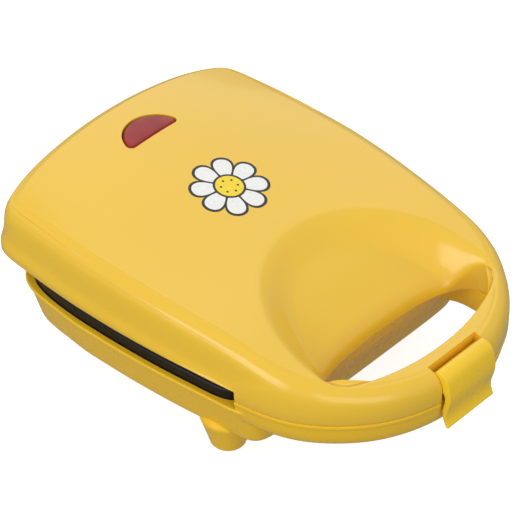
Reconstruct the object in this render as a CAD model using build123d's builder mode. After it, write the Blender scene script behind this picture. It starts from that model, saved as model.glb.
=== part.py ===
from build123d import *
import math
import os

os.makedirs("parts", exist_ok=True)

# ------------------------------------------------------------------ driving dimensions (mm)
# +Z up, the table plane is z = 0, +Y is the hinge side, -Y the handle side, x = 0 the middle plane.
Z_BASE = 14.5        # underside of the base shell, over the feet
Z_LIP_LOW = 33.6     # edge of the base shell along the plate gap
Z_PART = 38.0        # parting plane of the two handle halves and of the two plates
Z_LIP_UP = 42.4      # edge of the lid shell along the plate gap
GAP = 0.1            # half the gap between lid and base parts at the parting plane
WALL = 2.6           # shell wall in plan
ROOF = 2.5           # shell wall at the top
Y_BULK = -36.6       # wall between the plate room and the handle
Y_BACK_LOW = 83.0    # back of the base shell
HINGE_Y, HINGE_Z = 89.2, 38.0
PIN_R = 2.0
KNUCKLE_R = 5.0
CUPS = [(30.0, -4.8), (-30.0, -4.8), (30.0, 48.2), (-30.0, 48.2)]
CUP_LOW, CUP_UP = 13.9, 12.0          # depth of the lower cups and of the upper domes
POSTS = [(0.0, -10.0), (0.0, 62.2), (46.0, 21.7), (-46.0, 21.7)]
PLATE_T = 3.0
PLATE_LOW_Z = 34.85  # underside of the lower plate's web
PLATE_UP_Z = 38.15   # cooking face of the upper plate
ROOM_Y0 = -35.8      # front of the rooms for the plates
ELEMENT_R = 2.5
ELEMENT_X, ELEMENT_Y0, ELEMENT_Y1 = 56.2, -30.9, 72.8
LENS_Y = 72.1
LENS_W, LENS_D = 26.4, 12.2
LATCH_W = 26.6
LATCH_PIN_R = 1.2
LATCH_PIN_Y, LATCH_PIN_Z = -88.6, 45.6
RECESS_X = 13.8      # half width of the latch recess
HANDLE_BOSSES = [(52.6, -56.0), (-52.6, -56.0), (28.0, -82.6), (-28.0, -82.6)]
FEET = [(52.2, -21.6), (-52.2, -21.6), (44.0, 58.0), (-44.0, 58.0)]
BUSH_X, BUSH_Z = -26.0, 23.0

# half of the plan outline, from the middle of the back to the middle of the front
HALF = [(0, 97.6), (27.6, 96.8), (49.6, 94.4), (62.7, 89.5), (67.3, 80.2), (68.7, 65.0),
        (69.9, 44.0), (69.8, 19.5), (68.3, -5.4), (66.0, -27.9), (63.4, -46.4), (58.1, -61.5),
        (49.1, -73.8), (37.0, -84.1), (20.3, -91.7), (0, -94.7)]
# half of the base's outline, and of the plates' outline
LOW_HALF = [(0, 83.0), (26, 83.0), (45, 82.7), (56, 80.9), (63, 76.6), (66.8, 70.0), (68.5, 60.0)] + HALF[6:]
PLATE_HALF = [(0, 78.2), (26, 78.2), (43.5, 77.9), (54, 76.6), (60.3, 73.3), (63.8, 67.4), (65.7, 59.2),
              (67.0, 44.0), (66.9, 19.5), (65.5, -5.2), (64.2, -18.0), (63.0, -27.0), (60.6, -32.4),
              (54.8, -35.0), (44, -35.4), (28, -35.4), (14, -35.4), (0, -35.4)]
# half of the finger gap in the loop handle
GAP_HALF = [(0, -50.3), (14, -50.8), (26, -52.2), (35, -54.6), (42, -58.6), (45.4, -63.6),
            (44.2, -69.0), (38.5, -73.6), (29, -77.2), (15, -80.2), (0, -81.2)]
# the same gap in the lower half, with squarer corners at the body
GAP_LOW_HALF = [(0, -50.3), (14, -50.5), (26, -50.8), (36, -50.6), (42.6, -51.4), (44.8, -54.6), (45.5, -59.0),
                (45.4, -63.6), (44.2, -69.0), (38.5, -73.6), (29, -77.2), (15, -80.2), (0, -81.2)]
# height of the lid's shoulder, of its crowned middle and of the scoop in front of the plateau, by y
CREST = [(98, 63.2), (60, 64.2), (20, 64), (0, 63), (-20, 61.5), (-34, 59.8), (-48, 57.2),
         (-62, 54.4), (-75, 52.2), (-88, 50.9), (-98, 50.4)]
CROWN = [(98, 71.8), (88, 73), (67, 73.3), (45, 71.3), (25, 68.6), (6, 65.5), (-11, 63.4),
         (-24, 62.2), (-34, 60.5), (-48, 57.4), (-62, 54.5), (-75, 52.2), (-88, 50.9), (-98, 50.4)]
SCOOP = [(98, 71.8), (88, 73), (67, 73.3), (45, 71.3), (25, 68.3), (6, 63.9), (-11, 58.9),
         (-24, 55), (-34, 51.5), (-42, 47.5), (-50, 43.5), (-60, 42.5), (-98, 42.5)]


def closed(half):
    return list(half) + [(-x, y) for x, y in half[-2:0:-1]]


def inset(pts, d):
    out = []
    for i in range(len(pts)):
        ax, ay = pts[i - 1]
        bx, by = pts[(i + 1) % len(pts)]
        tx, ty = bx - ax, by - ay
        n = math.hypot(tx, ty)
        out.append((pts[i][0] + ty / n * d, pts[i][1] - tx / n * d))
    return out


def along(table, y):
    def straight(v):
        if v >= table[0][0]:
            return table[0][1]
        for (a, za), (b, zb) in zip(table, table[1:]):
            if v >= b:
                return zb + (za - zb) * (v - b) / (a - b)
        return table[-1][1]
    return sum(straight(y + k * 1.5) for k in range(-4, 5)) / 9


def lid_height(x, y):
    crest, crown, scoop = along(CREST, y), along(CROWN, y), along(SCOOP, y)
    u = min(1.0, abs(x) / 64)
    plateau = crest + (crown - crest) * (1 - u * u)
    e = math.hypot(x / 46, (y + 59) / 53)
    s = min(1.0, max(0.0, (1.06 - e) / 0.30))
    s = s * s * (3 - 2 * s) * min(1.0, max(0.0, 1 + (y + 59) / 10))
    return plateau + (min(scoop, plateau) - plateau) * s


OUTLINE = closed(HALF)
LOW = closed(LOW_HALF)
PLATE = closed(PLATE_HALF)
FINGER = closed(GAP_HALF)
FINGER_LOW = closed(GAP_LOW_HALF)
GRID = [[Vector(-77 + 7 * i, -105 + 7 * j, lid_height(-77 + 7 * i, -105 + 7 * j)) for i in range(23)]
        for j in range(31)]
# everything above the lid's top surface, and above its inner surface
roof_face = Face.make_surface_from_array_of_points(GRID, tol=0.1, min_deg=3, max_deg=3)
above_roof = Solid.extrude(roof_face, Vector(0, 0, 60))


def grip_plan(z, side, play, hole=FINGER, inner=43.0, rear=-56.0):
    """Room of the handle half on the plane z: side is its inset from the outline, play shrinks it."""
    with BuildSketch(Plane.XY.offset(z)) as sk:
        with BuildLine():
            Spline(*inset(OUTLINE, side + play), periodic=True)
        make_face()
        with Locations((0, Y_BULK - 2.6 - play - 60)):
            Rectangle(200, 120, mode=Mode.INTERSECT)
        with BuildLine():
            Spline(*inset(hole, -WALL - play), periodic=True)
        make_face(mode=Mode.SUBTRACT)
        with Locations((0, (rear - 32.0) / 2)):
            Rectangle(2 * (inner + play), -32.0 - rear, mode=Mode.SUBTRACT)
        with Locations((0, -94.0)):
            Rectangle(2 * (18.5 + play), 20.0, mode=Mode.SUBTRACT)
    return sk.sketch


def lead(points, radius, bend):
    """Round lead through the points."""
    with BuildLine() as path:
        FilletPolyline(*points, radius=bend)
    with BuildSketch(Plane(origin=points[0], z_dir=path.line % 0)) as sk:
        Circle(radius)
    sweep(sections=sk.sketch, path=path.line)


def cup_section(grow, z_mouth, depth, up):
    """Half section of an egg cup: grow 0 is the inside, 2 the outside of its wall."""
    s = 1 if up else -1
    lift = s * grow * 0.2
    pts = [(0, z_mouth - s * 4), (0, z_mouth + s * (depth + grow)), (11 + grow * 0.4, z_mouth + s * (depth + grow)),
           (17.5 + grow * 0.8, z_mouth + s * (depth - 3.0 + grow * 0.4)), (20.6 + grow, z_mouth + s * 6.2 + lift),
           (23.0 + grow, z_mouth), (23.0 + grow, z_mouth - s * 4)]
    with BuildSketch(Plane.XZ) as sk:
        with BuildLine():
            Polyline(*pts, close=True)
        make_face()
        corners = [v for v in sk.vertices() if 9 < v.X < 22.9 and v.Y * s > z_mouth * s + 3]
        fillet(corners, 6.0)
    return sk.sketch


def half_width(y, d):
    """Half width of the outline at y, inset by d."""
    pts = inset(OUTLINE, d)[:len(HALF)]
    for (xa, ya), (xb, yb) in zip(pts, pts[1:]):
        if ya >= y >= yb:
            return xa + (xb - xa) * (ya - y) / (ya - yb)
    return 0.0


# ------------------------------------------------------------------ rooms inside the lid
def lid_section(y, side, lean):
    """Section of the lid's room across the plane at y."""
    w = half_width(y, side)
    with BuildSketch(Plane.XZ.offset(-y)) as sk:
        with BuildLine():
            pts = [(-w, 37.0), (-w, 44.0)]
            for f in (-1.0, -0.8, -0.5, -0.2, 0.2, 0.5, 0.8, 1.0):
                x = f * (w - lean)
                pts.append((x, lid_height(x, y) - ROOF - (1.2 if abs(f) == 1 else 0.2)))
            pts += [(w, 44.0), (w, 37.0)]
            Polyline(*pts, close=True)
        make_face()
    return sk.sketch


with BuildPart() as plate_room:
    for y in (80.0, 70.0, 58.0, 40.0, 20.0, 6.0, -4.0, -14.0, -24.0, ROOM_Y0):
        add(lid_section(y, 2.4, 2.8))
    loft(ruled=True)
    # bosses for the plate screws
    with Locations(*[(x, y, 54.0) for x, y in POSTS]):
        Cylinder(4.0, 40, align=(Align.CENTER, Align.CENTER, Align.MIN), mode=Mode.SUBTRACT)
    # flat on the back boss, beside the lamp
    with Locations((0, 67.4, 63.4)):
        Box(14.0, 7.0, 7.8)

with BuildPart() as hinge_room:
    for y in (91.0, 89.0, 86.0, 82.4):
        add(lid_section(y, 3.6, 1.6))
    loft(ruled=True)

with BuildPart() as grip_room:
    add(grip_plan(37.0, WALL + 0.6, 0.0))
    extrude(amount=11.0)
    with Locations((0, (Y_BULK - 2.6 - 47.6) / 2, 39.0)):
        Box(92, 47.6 + Y_BULK - 2.6 + 0.0, 4.0)
    with Locations(*[(x, y, 40.4) for x, y in HANDLE_BOSSES]):
        Cylinder(2.6, 40, align=(Align.CENTER, Align.CENTER, Align.MIN), mode=Mode.SUBTRACT)

# ------------------------------------------------------------------ lid shell
with BuildPart() as upper_shell:
    for z, d in ((Z_PART + GAP, 0.0), (76, 4.4)):
        with BuildSketch(Plane.XY.offset(z)):
            with BuildLine():
                Spline(*inset(OUTLINE, d), periodic=True)
            make_face()
    loft()
    add(above_roof, mode=Mode.SUBTRACT)
    with BuildSketch(Plane.XY.offset(30)):
        with BuildLine():
            Spline(*FINGER, periodic=True)
        make_face()
    extrude(amount=45, mode=Mode.SUBTRACT)
    # plate gap: along the plates the lid's edge stands higher than at the handle
    with Locations((0, (Y_BULK + 110) / 2, (Z_LIP_UP + 30) / 2)):
        Box(200, 110 - Y_BULK, Z_LIP_UP - 30, mode=Mode.SUBTRACT)
    add(plate_room.part, mode=Mode.SUBTRACT)
    add(hinge_room.part, mode=Mode.SUBTRACT)
    add(grip_room.part, mode=Mode.SUBTRACT)
    # window of the indicator lens
    with BuildSketch(Plane.XY.offset(66)):
        with BuildLine():
            Line((-LENS_W / 2 - 0.1, LENS_Y - LENS_D / 2 - 0.1), (LENS_W / 2 + 0.1, LENS_Y - LENS_D / 2 - 0.1))
            ThreePointArc((LENS_W / 2 + 0.1, LENS_Y - LENS_D / 2 - 0.1), (0, LENS_Y + LENS_D / 2 + 0.1),
                          (-LENS_W / 2 - 0.1, LENS_Y - LENS_D / 2 - 0.1))
        make_face()
    extrude(amount=14, mode=Mode.SUBTRACT)
    # room for the base's ears and barrel to turn
    for x0, x1 in ((28.6, 39.1), (-39.1, -28.6), (-12.4, 0.2)):
        with Locations(((x0 + x1) / 2, HINGE_Y, HINGE_Z)):
            Cylinder(KNUCKLE_R + 0.4, x1 - x0, rotation=(0, 90, 0), mode=Mode.SUBTRACT)
    # hinge knuckles and the hollow barrel for the leads, on webs from the back wall
    for x0, x1 in ((39.2, 47.0), (-47.0, -39.2), (0.3, 12.0)):
        with Locations(((x0 + x1) / 2, HINGE_Y, HINGE_Z)):
            Cylinder(KNUCKLE_R, x1 - x0, rotation=(0, 90, 0))
        with Locations(((x0 + x1) / 2, 89.4, 42.4)):
            Box(x1 - x0, 10.4, 8.8)
    with Locations((43.1, HINGE_Y, HINGE_Z), (-43.1, HINGE_Y, HINGE_Z)):
        Cylinder(PIN_R + 0.05, 9.0, rotation=(0, 90, 0), mode=Mode.SUBTRACT)
    with Locations((5.0, HINGE_Y, HINGE_Z)):
        Cylinder(2.4, 10.0, rotation=(0, 90, 0), mode=Mode.SUBTRACT)
    with Locations((7.3, 88.6, 43.0)):
        Box(5.4, 3.6, 10.0, mode=Mode.SUBTRACT)
    # hole for the leads in the wall between hinge and plates
    with Locations((7.3, 81.2, 51.6)):
        Box(6.4, 6.0, 6.0, mode=Mode.SUBTRACT)
    # screw holes
    with Locations(*[(x, y, 53.0) for x, y in POSTS]):
        Cylinder(1.5, 4.2, align=(Align.CENTER, Align.CENTER, Align.MIN), mode=Mode.SUBTRACT)
    with Locations(*[(x, y, 39.0) for x, y in HANDLE_BOSSES]):
        Cylinder(0.95, 7.2, align=(Align.CENTER, Align.CENTER, Align.MIN), mode=Mode.SUBTRACT)
    # latch recess, open above and below, and its pin bore
    with Locations((0, -92.9, 50.0)):
        Box(2 * RECESS_X, 14.2, 60.0, mode=Mode.SUBTRACT)
    with Locations((0, LATCH_PIN_Y, LATCH_PIN_Z)):
        Cylinder(LATCH_PIN_R, 34.0, rotation=(0, 90, 0), mode=Mode.SUBTRACT)
upper_shell.part.label = "upper_shell"
export_step(upper_shell.part, "parts/upper_shell.step")

# ------------------------------------------------------------------ base shell
FINGER_DRAFT = [(x, y + 6.3 * max(0.0, 1 - (-50.3 - y) / 12.0)) for x, y in FINGER_LOW]
with BuildPart() as lower_shell:
    for z, d in ((Z_BASE, 5.9), (Z_LIP_LOW, 0.0)):
        with BuildSketch(Plane.XY.offset(z)):
            with BuildLine():
                Spline(*inset(LOW, d), periodic=True)
            make_face()
    loft()
    with BuildSketch(Plane.XY.offset(Z_LIP_LOW)):
        with BuildLine():
            Spline(*LOW, periodic=True)
        make_face()
        with Locations((0, Y_BULK - 60)):
            Rectangle(200, 120, mode=Mode.INTERSECT)
    extrude(amount=Z_PART - GAP - Z_LIP_LOW)
    # the body ends behind the handle's bar, with a sloping front wall
    with BuildSketch(Plane.YZ.offset(-100)):
        with BuildLine():
            Polyline((-120, 25.8), (-47.03, 25.8), (-43.6, 13.0), (-43.6, 5.0), (-120, 5.0), close=True)
        make_face()
    extrude(amount=200, mode=Mode.SUBTRACT)
    with BuildSketch(Plane.XY.offset(Z_BASE)):
        with BuildLine():
            Spline(*FINGER_DRAFT, periodic=True)
        make_face()
    with BuildSketch(Plane.XY.offset(Z_PART)):
        with BuildLine():
            Spline(*FINGER_LOW, periodic=True)
        make_face()
    loft(mode=Mode.SUBTRACT)
    # room under the plate
    with BuildSketch(Plane.XY.offset(Z_BASE + WALL)):
        with BuildLine():
            Spline(*inset(LOW, 8.5), periodic=True)
        make_face()
        with Locations((0, -41.6 + 80)):
            Rectangle(200, 160, mode=Mode.INTERSECT)
    extrude(amount=25.8 - Z_BASE - WALL, mode=Mode.SUBTRACT)
    with BuildSketch(Plane.XY.offset(25.8)):
        with BuildLine():
            Spline(*inset(LOW, 5.2), periodic=True)
        make_face()
        with Locations((0, ROOM_Y0 + 80)):
            Rectangle(200, 160, mode=Mode.INTERSECT)
    extrude(amount=5.6, mode=Mode.SUBTRACT)
    with BuildSketch(Plane.XY.offset(30.8)):
        with BuildLine():
            Spline(*inset(PLATE, -0.4), periodic=True)
        make_face()
    extrude(amount=3.6, mode=Mode.SUBTRACT)
    # room in the handle's lower half
    add(grip_plan(28.2, 4.3, 0.0, FINGER_LOW, 47.6, -58.0))
    extrude(amount=12.0, mode=Mode.SUBTRACT)
    with Locations((0, -42.4, 36.0)):
        Box(98, 6.4, 10.0, mode=Mode.SUBTRACT)
    with Locations(*[(x, y, 27.0) for x, y in HANDLE_BOSSES]):
        Cylinder(2.6, 8.6, align=(Align.CENTER, Align.CENTER, Align.MIN))
    with Locations(*[(x, y, 29.0) for x, y in HANDLE_BOSSES]):
        Cylinder(0.95, 8.0, align=(Align.CENTER, Align.CENTER, Align.MIN), mode=Mode.SUBTRACT)
    # bosses for the plate screws
    with Locations(*[(x, y, 15.0) for x, y in POSTS]):
        Cylinder(5.0, 5.0, align=(Align.CENTER, Align.CENTER, Align.MIN))
    with Locations(*[(x, y, 10.0) for x, y in POSTS]):
        Cylinder(3.4, 7.5, align=(Align.CENTER, Align.CENTER, Align.MIN), mode=Mode.SUBTRACT)
        Cylinder(1.7, 12.0, align=(Align.CENTER, Align.CENTER, Align.MIN), mode=Mode.SUBTRACT)
    # foot stubs with a seat for the pads
    with Locations(*[(x, y, 0.8) for x, y in FEET]):
        Cone(7.0, 11.2, 13.8, align=(Align.CENTER, Align.CENTER, Align.MIN))
    with Locations(*[(x, y, 14.6) for x, y in FEET]):
        Cone(11.2, 9.0, 2.3, align=(Align.CENTER, Align.CENTER, Align.MIN))
    with Locations(*[(x, y, 0.8) for x, y in FEET]):
        Cylinder(5.2, 1.2, align=(Align.CENTER, Align.CENTER, Align.MIN), mode=Mode.SUBTRACT)
    # hinge ears and the hollow barrel for the leads
    for x0, x1 in ((29.0, 38.8), (-38.8, -29.0)):
        with Locations(((x0 + x1) / 2, HINGE_Y, HINGE_Z)):
            Cylinder(KNUCKLE_R, x1 - x0, rotation=(0, 90, 0))
        with BuildSketch(Plane.YZ.offset(x0)):
            with BuildLine():
                Polyline((81.5, 24.0), (83.0, 24.0), (91.6, 33.8), (90.2, 38.0), (81.5, 38.0), close=True)
            make_face()
        extrude(amount=x1 - x0)
    with Locations((-6.15, HINGE_Y, HINGE_Z)):
        Cylinder(KNUCKLE_R, 11.7, rotation=(0, 90, 0))
    with BuildSketch(Plane.YZ.offset(-12.0)):
        with BuildLine():
            Polyline((80.0, 22.0), (83.0, 22.0), (90.6, 28.0), (90.6, 38.0), (81.5, 38.0), (80.0, 33.0), close=True)
        make_face()
    extrude(amount=11.7)
    with Locations((33.9, HINGE_Y, HINGE_Z), (-33.9, HINGE_Y, HINGE_Z)):
        Cylinder(PIN_R, 12.0, rotation=(0, 90, 0), mode=Mode.SUBTRACT)
    with Locations((-4.9, HINGE_Y, HINGE_Z)):
        Cylinder(2.4, 9.4, rotation=(0, 90, 0), mode=Mode.SUBTRACT)
    with Locations((-7.2, 82.3, 28.6)):
        Box(4.8, 12.6, 3.2, mode=Mode.SUBTRACT)
    with Locations((-7.2, 87.1, 32.6)):
        Box(4.8, 4.2, 11.2, mode=Mode.SUBTRACT)
    # hole of the bushing in the back wall
    with Locations((BUSH_X, 78.0, BUSH_Z)):
        Cylinder(5.0, 14.0, rotation=(90, 0, 0), mode=Mode.SUBTRACT)
    # latch recess with the groove that the latch's nib clicks over
    with Locations((0, -97.4, 30.0)):
        Box(2 * RECESS_X, 10.0, 30.0, mode=Mode.SUBTRACT)
    with Locations((0, -91.9, 35.0)):
        Box(16.0, 3.0, 10.0, mode=Mode.SUBTRACT)
lower_shell.part.label = "lower_shell"
export_step(lower_shell.part, "parts/lower_shell.step")

# ------------------------------------------------------------------ covers of the handle halves
with BuildPart() as upper_handle_cover:
    add(grip_plan(38.2, WALL + 0.6, 0.15))
    extrude(amount=2.2)
    with Locations((0, (Y_BULK - 2.75 - 47.45) / 2, 39.3)):
        Box(91.7, 47.45 + Y_BULK - 2.75, 2.2)
    with Locations(*[(x, y, 38.0) for x, y in HANDLE_BOSSES]):
        Cylinder(2.1, 1.4, align=(Align.CENTER, Align.CENTER, Align.MIN), mode=Mode.SUBTRACT)
        Cylinder(1.1, 4.0, align=(Align.CENTER, Align.CENTER, Align.MIN), mode=Mode.SUBTRACT)
upper_handle_cover.part.label = "upper_handle_cover"
export_step(upper_handle_cover.part, "parts/upper_handle_cover.step")

with BuildPart() as lower_handle_cover:
    add(grip_plan(35.6, 4.3, 0.15, FINGER_LOW, 47.6, -58.0))
    extrude(amount=2.2)
    with Locations((0, -42.4, 36.7)):
        Box(97.7, 6.1, 2.2)
    with Locations(*[(x, y, 36.6) for x, y in HANDLE_BOSSES]):
        Cylinder(2.1, 1.4, align=(Align.CENTER, Align.CENTER, Align.MIN), mode=Mode.SUBTRACT)
        Cylinder(1.1, 4.0, align=(Align.CENTER, Align.CENTER, Align.CENTER), mode=Mode.SUBTRACT)
lower_handle_cover.part.label = "lower_handle_cover"
export_step(lower_handle_cover.part, "parts/lower_handle_cover.step")

with BuildPart() as upper_cover_screws:
    with Locations(*[(x, y, 38.25) for x, y in HANDLE_BOSSES]):
        Cylinder(1.9, 1.15, align=(Align.CENTER, Align.CENTER, Align.MIN))
    with Locations(*[(x, y, 39.3) for x, y in HANDLE_BOSSES]):
        Cylinder(0.95, 6.6, align=(Align.CENTER, Align.CENTER, Align.MIN))
    with Locations(*[(x, y, 38.25) for x, y in HANDLE_BOSSES]):
        Box(2.4, 0.5, 1.0, mode=Mode.SUBTRACT)
        Box(0.5, 2.4, 1.0, mode=Mode.SUBTRACT)
upper_cover_screws.part.label = "upper_cover_screws"
export_step(upper_cover_screws.part, "parts/upper_cover_screws.step")

with BuildPart() as lower_cover_screws:
    with Locations(*[(x, y, 36.6) for x, y in HANDLE_BOSSES]):
        Cylinder(1.9, 1.15, align=(Align.CENTER, Align.CENTER, Align.MIN))
    with Locations(*[(x, y, 30.0) for x, y in HANDLE_BOSSES]):
        Cylinder(0.95, 6.8, align=(Align.CENTER, Align.CENTER, Align.MIN))
    with Locations(*[(x, y, 37.75) for x, y in HANDLE_BOSSES]):
        Box(2.4, 0.5, 1.0, mode=Mode.SUBTRACT)
        Box(0.5, 2.4, 1.0, mode=Mode.SUBTRACT)
lower_cover_screws.part.label = "lower_cover_screws"
export_step(lower_cover_screws.part, "parts/lower_cover_screws.step")

# ------------------------------------------------------------------ cooking plates
with BuildPart() as cup_low_out:
    add(cup_section(2.0, 34.0 + 3.85, CUP_LOW, False))
    revolve(axis=Axis.Z)
    with Locations((0, 0, 60 + 37.85)):
        Box(80, 80, 120, mode=Mode.SUBTRACT)
with BuildPart() as cup_low_in:
    add(cup_section(0.0, 37.85, CUP_LOW, False))
    revolve(axis=Axis.Z)
with BuildPart() as cup_up_out:
    add(cup_section(2.0, PLATE_UP_Z, CUP_UP, True))
    revolve(axis=Axis.Z)
    with Locations((0, 0, PLATE_UP_Z - 60)):
        Box(80, 80, 120, mode=Mode.SUBTRACT)
with BuildPart() as cup_up_in:
    add(cup_section(0.0, PLATE_UP_Z, CUP_UP, True))
    revolve(axis=Axis.Z)

with BuildPart() as lower_plate:
    with BuildSketch(Plane.XY.offset(31.0)):
        with BuildLine():
            Spline(*PLATE, periodic=True)
        make_face()
    extrude(amount=PLATE_LOW_Z + PLATE_T - 0.5 - 31.0)
    for z, d in ((PLATE_LOW_Z + PLATE_T - 0.5, 0.0), (PLATE_LOW_Z + PLATE_T, 0.5)):
        with BuildSketch(Plane.XY.offset(z)):
            with BuildLine():
                Spline(*inset(PLATE, d), periodic=True)
            make_face()
    loft()
    with BuildSketch(Plane.XY.offset(30.0)):
        with BuildLine():
            Spline(*inset(PLATE, 1.8), periodic=True)
        make_face()
    extrude(amount=PLATE_LOW_Z - 30.0, mode=Mode.SUBTRACT)
    with Locations(*[(x, y, 0) for x, y in CUPS]):
        add(cup_low_out.part)
    with Locations(*[(x, y, 20.6) for x, y in POSTS]):
        Cylinder(3.6, 15.0, align=(Align.CENTER, Align.CENTER, Align.MIN))
    with Locations(*[(x, y, 0) for x, y in CUPS]):
        add(cup_low_in.part, mode=Mode.SUBTRACT)
    fillet(lower_plate.edges().filter_by(GeomType.CIRCLE).filter_by(
        lambda e: abs(e.center().Z - 37.85) < 0.01 and e.radius > 20), 1.2)
    with Locations(*[(x, y, 20.0) for x, y in POSTS]):
        Cylinder(1.5, 9.6, align=(Align.CENTER, Align.CENTER, Align.MIN), mode=Mode.SUBTRACT)
    with Locations(*[(x, y, 33.0) for x, y in ((18.9, 21.7), (-18.9, 21.7), (0, 40.0))]):
        Cylinder(2.4, 2.0, align=(Align.CENTER, Align.CENTER, Align.MIN))
    with Locations(*[(x, y, 32.0) for x, y in ((18.9, 21.7), (-18.9, 21.7), (0, 40.0))]):
        Cylinder(1.25, 4.4, align=(Align.CENTER, Align.CENTER, Align.MIN), mode=Mode.SUBTRACT)
lower_plate.part.label = "lower_plate"
export_step(lower_plate.part, "parts/lower_plate.step")

with BuildPart() as upper_plate:
    for z, d in ((PLATE_UP_Z, 0.5), (PLATE_UP_Z + 0.5, 0.0)):
        with BuildSketch(Plane.XY.offset(z)):
            with BuildLine():
                Spline(*inset(PLATE, d), periodic=True)
            make_face()
    loft()
    with BuildSketch(Plane.XY.offset(PLATE_UP_Z + 0.5)):
        with BuildLine():
            Spline(*PLATE, periodic=True)
        make_face()
    extrude(amount=45.0 - PLATE_UP_Z - 0.5)
    with BuildSketch(Plane.XY.offset(PLATE_UP_Z + PLATE_T)):
        with BuildLine():
            Spline(*inset(PLATE, 1.8), periodic=True)
        make_face()
    extrude(amount=10.0, mode=Mode.SUBTRACT)
    with Locations(*[(x, y, 0) for x, y in CUPS]):
        add(cup_up_out.part)
    with Locations(*[(x, y, 0) for x, y in CUPS]):
        add(cup_up_in.part, mode=Mode.SUBTRACT)
    fillet(upper_plate.edges().filter_by(GeomType.CIRCLE).filter_by(
        lambda e: abs(e.center().Z - PLATE_UP_Z) < 0.01 and e.radius > 20), 1.2)
    with Locations(*[(x, y, PLATE_UP_Z) for x, y in POSTS]):
        Cone(3.1, 1.6, 1.5, align=(Align.CENTER, Align.CENTER, Align.MIN), mode=Mode.SUBTRACT)
        Cylinder(1.6, 6.0, align=(Align.CENTER, Align.CENTER, Align.MIN), mode=Mode.SUBTRACT)
upper_plate.part.label = "upper_plate"
export_step(upper_plate.part, "parts/upper_plate.step")

with BuildPart() as lower_plate_screws:
    with Locations(*[(x, y, 15.3) for x, y in POSTS]):
        Cylinder(2.9, 2.2, align=(Align.CENTER, Align.CENTER, Align.MIN))
    with Locations(*[(x, y, 17.4) for x, y in POSTS]):
        Cylinder(1.5, 11.6, align=(Align.CENTER, Align.CENTER, Align.MIN))
    with Locations(*[(x, y, 15.3) for x, y in POSTS]):
        Box(3.6, 0.7, 2.0, mode=Mode.SUBTRACT)
        Box(0.7, 3.6, 2.0, mode=Mode.SUBTRACT)
lower_plate_screws.part.label = "lower_plate_screws"
export_step(lower_plate_screws.part, "parts/lower_plate_screws.step")

with BuildPart() as upper_plate_screws:
    with Locations(*[(x, y, PLATE_UP_Z + 0.02) for x, y in POSTS]):
        Cone(3.0, 1.5, 1.5, align=(Align.CENTER, Align.CENTER, Align.MIN))
        Cylinder(1.5, 18.8, align=(Align.CENTER, Align.CENTER, Align.MIN))
    with Locations(*[(x, y, PLATE_UP_Z) for x, y in POSTS]):
        Box(3.4, 0.7, 1.6, mode=Mode.SUBTRACT)
        Box(0.7, 3.4, 1.6, mode=Mode.SUBTRACT)
upper_plate_screws.part.label = "upper_plate_screws"
export_step(upper_plate_screws.part, "parts/upper_plate_screws.step")

with BuildPart() as upper_spacers:
    with Locations(*[(x, y, PLATE_UP_Z + PLATE_T) for x, y in POSTS]):
        Cylinder(3.4, 53.4 - PLATE_UP_Z - PLATE_T, align=(Align.CENTER, Align.CENTER, Align.MIN))
        Cylinder(1.6, 20.0, align=(Align.CENTER, Align.CENTER, Align.MIN), mode=Mode.SUBTRACT)
upper_spacers.part.label = "upper_spacers"
export_step(upper_spacers.part, "parts/upper_spacers.step")

# ------------------------------------------------------------------ heating elements
def element(z):
    """Tubular element round the cups with a gap and two pins at the back."""
    with BuildLine() as path:
        FilletPolyline((12.0, ELEMENT_Y1, z), (ELEMENT_X, ELEMENT_Y1, z), (ELEMENT_X, ELEMENT_Y0, z),
                       (-ELEMENT_X, ELEMENT_Y0, z), (-ELEMENT_X, ELEMENT_Y1, z), (-12.0, ELEMENT_Y1, z), radius=12.0)
    with BuildSketch(Plane(origin=(12.0, ELEMENT_Y1, z), z_dir=(1, 0, 0))) as sk:
        Circle(ELEMENT_R)
    sweep(sections=sk.sketch, path=path.line)
    with Locations((9.5, ELEMENT_Y1, z), (-9.5, ELEMENT_Y1, z)):
        Cylinder(1.1, 5.0, rotation=(0, 90, 0))


with BuildPart() as lower_element:
    element(PLATE_LOW_Z - ELEMENT_R)
lower_element.part.label = "lower_element"
export_step(lower_element.part, "parts/lower_element.step")

with BuildPart() as upper_element:
    element(PLATE_UP_Z + PLATE_T + ELEMENT_R)
upper_element.part.label = "upper_element"
export_step(upper_element.part, "parts/upper_element.step")

# ------------------------------------------------------------------ reflectors
with BuildPart() as lower_reflector:
    with BuildSketch(Plane.XY.offset(20.0)):
        with Locations((0, 17.0)):
            RectangleRounded(114, 99.2, 12)
    extrude(amount=2.4)
    with BuildSketch(Plane.XY.offset(20.6)):
        with Locations((0, 17.0)):
            RectangleRounded(112.8, 98.0, 11.4)
    extrude(amount=4.0, mode=Mode.SUBTRACT)
    with Locations(*[(x, y, 19.0) for x, y in POSTS]):
        Cylinder(1.7, 3.0, align=(Align.CENTER, Align.CENTER, Align.MIN), mode=Mode.SUBTRACT)
lower_reflector.part.label = "lower_reflector"
export_step(lower_reflector.part, "parts/lower_reflector.step")

with BuildPart() as upper_reflector:
    with BuildSketch(Plane.YZ.offset(-55.0)):
        with BuildLine():
            Polyline((68.0, 53.4), (-16.0, 53.4), (-33.0, 47.5), (-33.0, 48.1), (-16.1, 54.0), (68.6, 54.0),
                     (68.6, 49.4), (68.0, 49.4), close=True)
        make_face()
    extrude(amount=110.0)
    with Locations(*[(x, y, 52.0) for x, y in POSTS]):
        Cylinder(1.7, 3.0, align=(Align.CENTER, Align.CENTER, Align.MIN), mode=Mode.SUBTRACT)
upper_reflector.part.label = "upper_reflector"
export_step(upper_reflector.part, "parts/upper_reflector.step")

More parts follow.
